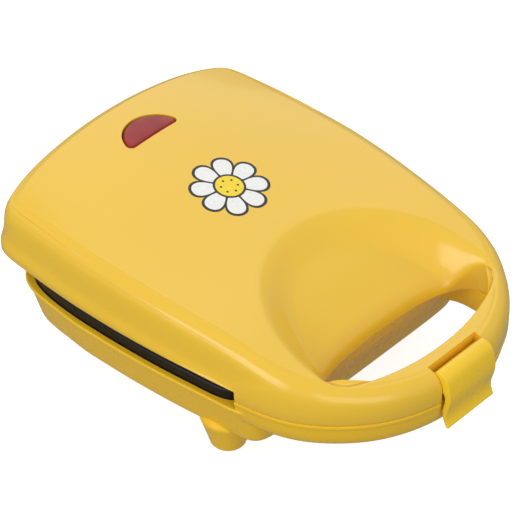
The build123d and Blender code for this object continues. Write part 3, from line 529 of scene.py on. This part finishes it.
def make_grip():
    o = resample(OUT, 420)
    nrm = normals(o)
    c = np.array([0.0, -64.5])
    ang_o = np.unwrap(np.arctan2(*(o - c).T))
    ang_g = np.unwrap(np.arctan2(*(GAPLOW - c).T))
    line = GAPLOW
    if ang_g[-1] < ang_g[0]:
        ang_g, line = ang_g[::-1], GAPLOW[::-1]
    a_full = np.concatenate([ang_g - 2 * np.pi, ang_g, ang_g + 2 * np.pi])
    l_full = np.vstack([line] * 3)
    g = np.stack([np.interp(ang_o, a_full, l_full[:, 0]), np.interp(ang_o, a_full, l_full[:, 1])], 1)
    gd = (o - g)
    gd /= np.hypot(*gd.T)[:, None]
    rear = np.clip(1 - (-50.3 - g[:, 1]) / 12.0, 0, 1)

    def wall(z, e):
        p = g + gd * e
        return np.column_stack([p[:, 0], p[:, 1] + rear * 6.3 * (Z_PART - z) / 23.5])

    prof = [(0.5, 37.88), (0.16, 37.78), (0.0, 37.5), (0.0, 36.6), (0.12, 36.1), (0.35, 35.7), (0.5, 35.2), (0.75, 33.4),
            (1.2, 31.2), (1.8, 29.2), (2.5, 27.6), (3.2, 26.6), (4.1, 26.0), (5.2, 25.8)]
    rings = [ring3(o - nrm * d, z) for d, z in prof]
    a = rings[-1][:, :2]
    b = wall(25.8, 1.6)
    for f in np.linspace(0, 1, 12)[1:]:
        rings.append(ring3(a + (b - a) * f, 25.8))
    for e, z in ((0.9, 26.05), (0.35, 26.6), (0.05, 27.4), (0.0, 29.0), (0.0, 31.5), (0.0, 34.0), (0.0, 36.2), (0.0, 37.5),
                 (0.1, 37.78), (0.35, 37.88)):
        rings.append(ring3(wall(z, e), z))
    a = rings[-1][:, :2]
    b = rings[0][:, :2]
    for f in np.linspace(0, 1, 12)[1:-1]:
        rings.append(ring3(a + (b - a) * f, 37.88))
    ob = rings_object("grip", rings, None, close=True)
    boolean(ob, [box(-90, 90, Y_BULK, 130, 0, 60)], "DIFFERENCE")
    return ob


def foot(x, y):
    """Stub foot: rounded rim at the bottom, flared towards the shell and closed again inside it."""
    prof = [(5.9, 0.75), (6.35, 0.8), (6.75, 1.0), (7.0, 1.35), (7.15, 1.9), (7.6, 3.4), (8.3, 5.8), (9.0, 8.1), (9.7, 10.4),
            (10.4, 12.6), (10.9, 14.0), (11.0, 14.9), (10.5, 15.8), (9.0, 17.0)]
    n = 72
    t = np.arange(n) / n * 2 * np.pi
    rings = [np.column_stack([x + r * np.cos(t), y + r * np.sin(t), np.full(n, z)]) for r, z in prof]
    return rings_object("foot", rings, None, (True, True))


def ear(x0, x1, low):
    t = np.linspace(math.radians(-40), math.radians(180), 29)
    prof = [(80.5, low), (82.6, low), (HINGE[0] + 5 * math.cos(t[0]) * 0.9, HINGE[1] - 5.6)]
    prof += [(HINGE[0] + 5 * math.cos(a), HINGE[1] + 5 * math.sin(a)) for a in t]
    prof += [(82.6, 38.0), (80.5, 36.4)]
    return extrude_x(prof, x0, x1)


base = make_tub()
boolean(base, [make_grip()], "UNION")
boolean(base, [join_meshes([foot(52.2, -21.6), foot(-52.2, -21.6), foot(44, 58), foot(-44, 58)])], "UNION")
boolean(base, [join_meshes([ear(29.0, 38.8, 26.0), ear(-38.8, -29.0, 26.0), ear(-12.0, -0.3, 22.5)])], "UNION")
PLATE_HALF = [(0, 78.2), (26, 78.2), (43.5, 77.9), (54, 76.6), (60.3, 73.3), (63.8, 67.4), (65.7, 59.2),
              (67.0, 44.0), (66.9, 19.5), (65.5, -5.2), (64.2, -18.0), (63.0, -27.0), (60.6, -32.4),
              (54.8, -35.0), (44, -35.4), (28, -35.4), (14, -35.4), (0, -35.4)]
PLATE = dense(closed(PLATE_HALF))
low_line = resample(clip_front(inset(resample(LOW, 400), 8.4), -41.0), 200)
boolean(base, [prism(low_line, 17.1, 27.0)], "DIFFERENCE")
seat_low = node_copy("lower_handle_cover", 0.12, lambda z: z + 3 if z > 37 else z)
boolean(base, [prism(resample(inset(PLATE, -0.4), 260), 30.8, 44.0)], "DIFFERENCE")
boolean(base, [prism(resample(inset(PLATE, 3.2), 220), 26.0, 31.5)], "DIFFERENCE")
boolean(base, [join_meshes([seat_low, box(-13.8, 13.8, -104, -92.4, 15, 45), tube_x(28.0, 40.0, *HINGE, 2.0),
                            tube_x(-40.0, -28.0, *HINGE, 2.0), tube_x(-9.0, 0.5, *HINGE, 2.4)])], "DIFFERENCE")
nib_room = box(-8, 8, -93.4, -90.4, 30, 40)
boolean(base, [nib_room], "DIFFERENCE")
seats = [tube_z(x, y, -1.0, 2.1, 5.3) for x, y in ((52.2, -21.6), (-52.2, -21.6), (44, 58), (-44, 58))]
boolean(base, [join_meshes(seats)], "DIFFERENCE")
smooth_by_angle(base, 38)
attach(base, "base")
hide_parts("lower_shell")

# ------------------------------------------------------------------ latch


def spline_open(points, n):
    """Smooth line through the points, closed at the corners only where the points repeat."""
    p = np.asarray(points, float)
    s = np.concatenate([[0], np.cumsum(np.hypot(*(p[1:] - p[:-1]).T))])
    t = np.linspace(0, s[-1], n)
    m = len(p)
    h = np.diff(s)
    a = np.zeros((m, m))
    r = np.zeros((m, 2))
    a[0, 0] = a[-1, -1] = 1
    for i in range(1, m - 1):
        a[i, i - 1], a[i, i], a[i, i + 1] = h[i - 1], 2 * (h[i - 1] + h[i]), h[i]
        r[i] = 6 * ((p[i + 1] - p[i]) / h[i] - (p[i] - p[i - 1]) / h[i - 1])
    c = np.linalg.solve(a, r)
    out = []
    for v in t:
        i = min(np.searchsorted(s, v, side="right") - 1, m - 2)
        x, u = v - s[i], s[i + 1] - v
        out.append((c[i] * u ** 3 + c[i + 1] * x ** 3) / (6 * h[i]) + (p[i] / h[i] - c[i] * h[i] / 6) * u
                   + (p[i + 1] / h[i] - c[i + 1] * h[i] / 6) * x)
    return np.array(out)


def make_latch():
    front = spline_open([(-89.5, 50.7), (-90.8, 50.95), (-92.6, 50.75), (-94.4, 49.8), (-95.6, 48.0), (-96.3, 45.8),
                         (-96.8, 43.2), (-97.0, 40.6), (-96.7, 38.0), (-96.1, 35.6), (-95.6, 33.4), (-95.5, 31.4),
                         (-95.9, 29.3), (-96.9, 27.3)], 60)
    back = spline_open([(-95.9, 26.7), (-94.7, 28.6), (-93.9, 30.8), (-93.5, 33.4), (-93.8, 36.0), (-94.3, 38.6),
                        (-94.2, 41.0), (-93.2, 42.6), (-91.0, 43.2)], 26)
    prof = np.vstack([front, [(-96.7, 26.7)], back, [(-89.2, 43.2), (-88.9, 48.0), (-89.6, 48.8), (-89.55, 50.2)]])
    ob = extrude_x(prof, -13.3, 13.3, "latch_clip")
    ob.name = "latch_clip"
    m = ob.modifiers.new("edge", "BEVEL")
    m.width, m.segments, m.limit_method, m.angle_limit = 0.00045, 3, "ANGLE", math.radians(35)
    dg = bpy.context.evaluated_depsgraph_get()
    me = bpy.data.meshes.new_from_object(ob.evaluated_get(dg))
    ob.modifiers.clear()
    ob.data = me
    hub = tube_x(-13.3, 13.3, -88.6, 45.6, 2.5)
    nib = extrude_x([(-94.2, 30.6), (-91.4, 31.4), (-91.4, 32.8), (-94.2, 33.8)], -7.0, 7.0)
    boolean(ob, [hub], "UNION")
    boolean(ob, [nib], "UNION")
    boolean(ob, [tube_x(-14.5, 14.5, -88.6, 45.6, 1.25)], "DIFFERENCE")
    smooth_by_angle(ob, 50)
    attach(ob, "latch")
    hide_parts("latch")
    return ob


latch = make_latch()

# ------------------------------------------------------------------ lens


def make_lens():
    """Flat-topped half-moon with a rounded shoulder, a little under the lid's surface at its edge."""
    line = lens_line(0.0)
    c = np.array([0.0, 71.0])
    rings = []
    for d, dz in ((0.0, -4.0), (0.0, -1.3), (0.06, -0.85), (0.22, -0.5), (0.5, -0.24), (0.9, -0.1), (1.4, -0.05)):
        p = lens_line(-d, 1.9) if d < 1.0 else c + (lens_line(0.0) - c) * (1 - d / 6.2)
        rings.append(ring3(p, plain_top(p[:, 0], p[:, 1]) + dz))
    for f in (0.62, 0.45, 0.28, 0.12, 0.03):
        p = c + (line - c) * f
        rings.append(ring3(p, plain_top(p[:, 0], p[:, 1]) - 0.05 + 0.1 * (1 - f)))
    ob = rings_object("lens_red", rings, "lid", (True, True))
    smooth_by_angle(ob, 60)
    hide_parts("indicator_lens")
    return ob


lens = make_lens()

# ------------------------------------------------------------------ printed flower on the plateau
FLOWER = (-0.4, 25.6)


def decal(name, shapes, lift, n=72):
    """Thin closed print over the lid's surface; each shape is a star-shaped outline round its middle."""
    parts = []
    for (cx, cy), line in shapes:
        c = np.array([cx, cy])
        rings = []
        for f, dz in ((0.05, -0.12), (0.5, -0.12), (1.0, -0.12), (1.0, lift), (0.94, lift + 0.006), (0.7, lift + 0.008),
                      (0.45, lift + 0.008), (0.22, lift + 0.008), (0.05, lift + 0.008)):
            p = c + (line - c) * f
            rings.append(ring3(p, plain_top(p[:, 0], p[:, 1]) + dz))
        parts.append(rings_object("part", rings, None, (True, True)))
    ob = join_meshes(parts, name)
    ob.name = name
    smooth_by_angle(ob, 50)
    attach(ob, "lid")
    return ob


def petal(angle, r0, r1, half, n=60):
    """Outline of a petal that points along angle, blunt outside and narrow at its root."""
    t = np.arange(n) / n * 2 * np.pi
    u = (r0 + r1) / 2 + (r1 - r0) / 2 * np.cos(t)
    v = half * np.sin(t) * (0.78 + 0.3 * np.cos(t))
    ca, sa = math.cos(angle), math.sin(angle)
    return np.column_stack([FLOWER[0] + u * ca - v * sa, FLOWER[1] + u * sa + v * ca])[::-1]


def disc(r, n=72, cx=FLOWER[0], cy=FLOWER[1]):
    t = np.arange(n) / n * 2 * np.pi
    return np.column_stack([cx + r * np.cos(t), cy + r * np.sin(t)])[::-1]


def mid(line):
    return tuple(line.mean(0))


ANGLES = [math.radians(12 + 45 * k) for k in range(8)]
dark = [petal(a, 3.0, 16.2, 5.5) for a in ANGLES]
pale = [petal(a, 4.2, 15.0, 4.35) for a in ANGLES]
seeds = [disc(0.5, 20, FLOWER[0] + 3.4 * math.cos(a), FLOWER[1] + 3.4 * math.sin(a)) for a in
         [math.radians(30 + 60 * k) for k in range(6)]]
print_dark = decal("print_dark", [(mid(p), p) for p in dark] + [(FLOWER, disc(6.3))], 0.03)
print_pale = decal("print_pale", [(mid(p), p) for p in pale], 0.05)
print_ring = decal("print_ring", [(FLOWER, disc(6.5))], 0.07)
print_yolk = decal("print_yolk", [(FLOWER, disc(5.55))], 0.09)
print_seeds = decal("print_seeds", [(mid(p), p) for p in seeds], 0.11)

# ------------------------------------------------------------------ materials


def lin(c):
    """sRGB 0..255 to linear."""
    out = []
    for v in c:
        v = v / 255
        out.append(v / 12.92 if v <= 0.04045 else ((v + 0.055) / 1.055) ** 2.4)
    return (*out, 1.0)


def new_mat(name, colour, rough=0.4, metal=0.0, **more):
    m = bpy.data.materials.new(name)
    m.use_nodes = True
    nt = m.node_tree
    b = nt.nodes["Principled BSDF"]
    b.inputs["Base Color"].default_value = lin(colour)
    b.inputs["Roughness"].default_value = rough
    b.inputs["Metallic"].default_value = metal
    for k, v in more.items():
        b.inputs[k.replace("_", " ")].default_value = v
    return m, nt, b


def noise(nt, scale, detail=3.0, rough=0.5, stretch=(1, 1, 1)):
    tc = nt.nodes.new("ShaderNodeTexCoord")
    mp = nt.nodes.new("ShaderNodeMapping")
    mp.inputs["Scale"].default_value = stretch
    n = nt.nodes.new("ShaderNodeTexNoise")
    n.inputs["Scale"].default_value = scale
    n.inputs["Detail"].default_value = detail
    n.inputs["Roughness"].default_value = rough
    nt.links.new(tc.outputs["Object"], mp.inputs["Vector"])
    nt.links.new(mp.outputs["Vector"], n.inputs["Vector"])
    return n


def ramp(nt, src, a, b, pos=(0.3, 0.7)):
    r = nt.nodes.new("ShaderNodeValToRGB")
    r.color_ramp.elements[0].position, r.color_ramp.elements[1].position = pos
    r.color_ramp.elements[0].color, r.color_ramp.elements[1].color = a, b
    nt.links.new(src, r.inputs["Fac"])
    return r


def grey(v):
    return (v, v, v, 1.0)


def bump(nt, bsdf, src, strength, distance):
    n = nt.nodes.new("ShaderNodeBump")
    n.inputs["Strength"].default_value = strength
    n.inputs["Distance"].default_value = distance
    nt.links.new(src, n.inputs["Height"])
    nt.links.new(n.outputs["Normal"], bsdf.inputs["Normal"])


def plastic(name, colour, shade, rough=0.2, coat=0.6, level=0.5):
    """Glossy moulded plastic: faint mottling of colour and gloss, a very fine orange peel."""
    m, nt, b = new_mat(name, colour, rough)
    n = noise(nt, 9.0, 2.0, 0.5)
    c = ramp(nt, n.outputs["Fac"], lin(shade), lin(colour), (0.2, 0.6))
    nt.links.new(c.outputs["Color"], b.inputs["Base Color"])
    g = noise(nt, 380.0, 3.0, 0.6)
    r = ramp(nt, g.outputs["Fac"], grey(rough * 0.92), grey(rough * 1.1))
    nt.links.new(r.outputs["Color"], b.inputs["Roughness"])
    b.inputs["Coat Weight"].default_value = coat
    b.inputs["Coat Roughness"].default_value = 0.05
    b.inputs["IOR"].default_value = 1.5
    b.inputs["Specular IOR Level"].default_value = level
    p = noise(nt, 900.0, 2.0, 0.5)
    bump(nt, b, p.outputs["Fac"], 0.03, 0.000012)
    return m


def satin(name, a, b_, rough, scale=420.0, depth=0.00003):
    m, nt, b = new_mat(name, a, rough)
    n = noise(nt, scale, 3.0, 0.55)
    c = ramp(nt, n.outputs["Fac"], lin(b_), lin(a), (0.35, 0.65))
    nt.links.new(c.outputs["Color"], b.inputs["Base Color"])
    r = ramp(nt, n.outputs["Fac"], grey(rough * 0.85), grey(min(1, rough * 1.15)))
    nt.links.new(r.outputs["Color"], b.inputs["Roughness"])
    bump(nt, b, n.outputs["Fac"], 0.2, depth)
    return m


YELLOW = plastic("shell_plastic", (243, 198, 56), (241, 195, 52), 0.24, 0.24, 0.5)
# the base's copy of the shell yellow, painted brighter and more saturated to stand in for how light falls on the base
# and its handle cover
YELLOW_BASE_PAINTED_BRIGHTER = plastic("base_plastic_painted_brighter", (248, 200, 46), (246, 197, 42), 0.28, 0.1, 0.25)
# the latch's copy of the shell yellow, painted brighter to stand in for the light falling on its front
YELLOW_LATCH_PAINTED_BRIGHTER = plastic("latch_plastic_painted_brighter", (252, 209, 47), (250, 206, 43), 0.28, 0.12, 0.35)
INK_BLACK = satin("ink_black", (22, 22, 22), (16, 16, 16), 0.3, 700.0, 0.000004)
INK_WHITE = satin("ink_white", (246, 246, 243), (240, 240, 236), 0.3, 700.0, 0.000004)
INK_YOLK = satin("ink_yolk", (252, 222, 30), (248, 214, 22), 0.3, 700.0, 0.000004)


def coated():
    """Non-stick coating: black, satin, fine sprayed grain with a few pale flecks."""
    m, nt, b = new_mat("nonstick_coating", (20, 20, 22), 0.32)
    b.inputs["Specular IOR Level"].default_value = 0.3
    n = noise(nt, 1500.0, 2.0, 0.6)
    c = ramp(nt, n.outputs["Fac"], lin((14, 14, 16)), lin((30, 30, 33)), (0.45, 0.78))
    nt.links.new(c.outputs["Color"], b.inputs["Base Color"])
    g = noise(nt, 700.0, 3.0, 0.6)
    r = ramp(nt, g.outputs["Fac"], grey(0.26), grey(0.42))
    nt.links.new(r.outputs["Color"], b.inputs["Roughness"])
    bump(nt, b, n.outputs["Fac"], 0.25, 0.00003)
    return m


def metal(name, colour, rough, stretch=(1, 1, 1), scale=600.0, depth=0.00002):
    m, nt, b = new_mat(name, colour, rough, 1.0)
    n = noise(nt, scale, 3.0, 0.6, stretch)
    r = ramp(nt, n.outputs["Fac"], grey(rough * 0.75), grey(min(1.0, rough * 1.35)))
    nt.links.new(r.outputs["Color"], b.inputs["Roughness"])
    k = [max(0, v - 22) for v in colour]
    c = ramp(nt, n.outputs["Fac"], lin(k), lin(colour), (0.35, 0.62))
    nt.links.new(c.outputs["Color"], b.inputs["Base Color"])
    bump(nt, b, n.outputs["Fac"], 0.15, depth)
    return m


NONSTICK = coated()
STEEL = metal("screw_steel", (196, 198, 200), 0.28)
SHEET = metal("bright_sheet", (214, 214, 212), 0.32, (1, 14, 1), 260.0)
SHEATH = metal("element_sheath", (132, 128, 122), 0.45, (1, 1, 1), 340.0)
BLACK = satin("black_part", (32, 32, 34), (26, 26, 28), 0.42)
WHITE = satin("white_part", (232, 229, 220), (222, 218, 208), 0.55)
RUBBER = satin("rubber_pad", (40, 40, 42), (32, 32, 34), 0.75, 520.0, 0.00006)
LEAD = satin("lead_insulation", (214, 210, 200), (202, 197, 186), 0.6)
CORE = metal("tinned_core", (190, 184, 176), 0.35)


def red_plastic():
    m, nt, b = new_mat("red_lens", (160, 40, 36), 0.12)
    n = noise(nt, 160.0, 3.0, 0.5)
    c = ramp(nt, n.outputs["Fac"], lin((140, 24, 22)), lin((166, 36, 32)), (0.3, 0.7))
    nt.links.new(c.outputs["Color"], b.inputs["Base Color"])
    g = noise(nt, 500.0, 2.0, 0.5)
    r = ramp(nt, g.outputs["Fac"], grey(0.10), grey(0.16))
    nt.links.new(r.outputs["Color"], b.inputs["Roughness"])
    b.inputs["Coat Weight"].default_value = 0.1
    b.inputs["Coat Roughness"].default_value = 0.06
    b.inputs["Specular IOR Level"].default_value = 0.3
    return m


def lamp_glass():
    m, nt, b = new_mat("lamp_glass", (250, 170, 120), 0.05)
    b.inputs["Transmission Weight"].default_value = 0.85
    b.inputs["IOR"].default_value = 1.47
    n = noise(nt, 500.0, 2.0, 0.5)
    c = ramp(nt, n.outputs["Fac"], lin((246, 150, 100)), lin((252, 190, 150)))
    nt.links.new(c.outputs["Color"], b.inputs["Base Color"])
    g = noise(nt, 300.0, 2.0, 0.5)
    r = ramp(nt, g.outputs["Fac"], grey(0.04), grey(0.08))
    nt.links.new(r.outputs["Color"], b.inputs["Roughness"])
    return m


LENS = red_plastic()
GLASS = lamp_glass()


def dress(ob, mat):
    ob.data.materials.clear()
    ob.data.materials.append(mat)


SLOT_MATS = {"yellow_shell": YELLOW, "red_lens": LENS, "nonstick": NONSTICK, "bright_sheet": SHEET, "steel": STEEL,
             "element_sheath": SHEATH, "black_part": BLACK, "white_part": WHITE, "rubber": RUBBER, "lead": LEAD,
             "lamp_glass": GLASS}
dress(lid, YELLOW)
dress(base, YELLOW_BASE_PAINTED_BRIGHTER)
dress(latch, YELLOW_LATCH_PAINTED_BRIGHTER)
dress(lens, LENS)
dress(print_dark, INK_BLACK)
dress(print_ring, INK_BLACK)
dress(print_seeds, INK_BLACK)
dress(print_pale, INK_WHITE)
dress(print_yolk, INK_YOLK)
MATERIAL_OF = {"lower_handle_cover": YELLOW_BASE_PAINTED_BRIGHTER, "upper_handle_cover": YELLOW, "lower_plate": NONSTICK,
               "upper_plate": NONSTICK, "lower_reflector": SHEET, "upper_reflector": SHEET, "lower_element": SHEATH,
               "upper_element": SHEATH, "thermostat": BLACK, "thermostat_bracket": SHEET, "thermal_fuse": WHITE,
               "fuse_clip": SHEET, "terminal_block": WHITE, "cord_bushing": BLACK, "base_wires": LEAD,
               "lid_wires": LEAD, "rubber_feet": RUBBER, "indicator_lamp": GLASS, "lamp_holder": BLACK,
               "upper_spacers": STEEL}
for name, ob in NODES.items():
    mat = MATERIAL_OF.get(name, STEEL)
    for s in ob.material_slots:
        s.material = mat

# ------------------------------------------------------------------ camera, light, floor
cam_data = bpy.data.cameras.new("camera")
cam = bpy.data.objects.new("camera", cam_data)
bpy.context.scene.collection.objects.link(cam)
AZ, EL, ROLL = math.radians(-47.56), math.radians(39.62), math.radians(0.13)
BACK = Vector((math.sin(AZ) * math.cos(EL), -math.cos(AZ) * math.cos(EL), math.sin(EL)))
cam_data.sensor_width = 36.0
cam_data.lens = 2887.5 / 522 * 36.0
cam.location = Vector((-0.73, 8.74, 40.8)) * MM + BACK * 1.12175
cam.rotation_mode = "QUATERNION"
q = (-BACK).to_track_quat("-Z", "Y")
q.rotate(Quaternion(BACK, ROLL))
cam.rotation_quaternion = q
cam_data.clip_start, cam_data.clip_end = 0.05, 20
bpy.context.scene.camera = cam

floor_me = bpy.data.meshes.new("floor")
floor_me.from_pydata([(-6, -6, 0), (6, -6, 0), (6, 6, 0), (-6, 6, 0)], [], [(0, 1, 2, 3)])
floor = bpy.data.objects.new("floor", floor_me)
bpy.context.scene.collection.objects.link(floor)
fm, fnt, fb = new_mat("floor_paper", (170, 170, 170), 0.9)
fb.inputs["Emission Color"].default_value = (1.0, 1.0, 1.0, 1.0)
fb.inputs["Emission Strength"].default_value = 0.84
dress(floor, fm)
floor.visible_glossy = False
floor.visible_diffuse = False


def area(name, where, size, power, aim=(0, 0, 0.04), size_y=None, colour=(1, 1, 1)):
    d = bpy.data.lights.new(name, "AREA")
    d.shape = "RECTANGLE"
    d.size, d.size_y = size, size_y or size
    d.energy = power
    d.color = colour
    o = bpy.data.objects.new(name, d)
    bpy.context.scene.collection.objects.link(o)
    o.location = where
    o.rotation_mode = "QUATERNION"
    o.rotation_quaternion = (Vector(where) - Vector(aim)).to_track_quat("Z", "Y")
    return o


area("behind", (0.9, 0.83, 1.02), 1.3, 3.8)
area("left", (-1.3, 0.1, 0.6), 0.9, 5.5, size_y=0.7)
area("front_left", (-0.75, -1.3, 0.6), 1.1, 3.9, size_y=0.7)

# studio surround: bright above, dim below the horizon
world = bpy.data.worlds.new("studio")
world.use_nodes = True
wnt = world.node_tree
back = wnt.nodes["Background"]
tex = wnt.nodes.new("ShaderNodeTexCoord")
sep = wnt.nodes.new("ShaderNodeSeparateXYZ")
wr = wnt.nodes.new("ShaderNodeValToRGB")
mr = wnt.nodes.new("ShaderNodeMapRange")
mr.inputs["From Min"].default_value, mr.inputs["From Max"].default_value = -1.0, 1.0
wnt.links.new(tex.outputs["Generated"], sep.inputs["Vector"])
wnt.links.new(sep.outputs["Z"], mr.inputs["Value"])
wnt.links.new(mr.outputs["Result"], wr.inputs["Fac"])
wnt.links.new(wr.outputs["Color"], back.inputs["Color"])
cr = wr.color_ramp
cr.elements[0].position, cr.elements[0].color = 0.0, grey(0.30)
cr.elements[1].position, cr.elements[1].color = 1.0, grey(0.80)
for pos, v in ((0.42, 0.30), (0.52, 0.54), (0.64, 0.80)):
    e = cr.elements.new(pos)
    e.color = grey(v)
back.inputs["Strength"].default_value = 0.92
bpy.context.scene.world = world
bpy.context.scene.view_settings.view_transform = "Standard"
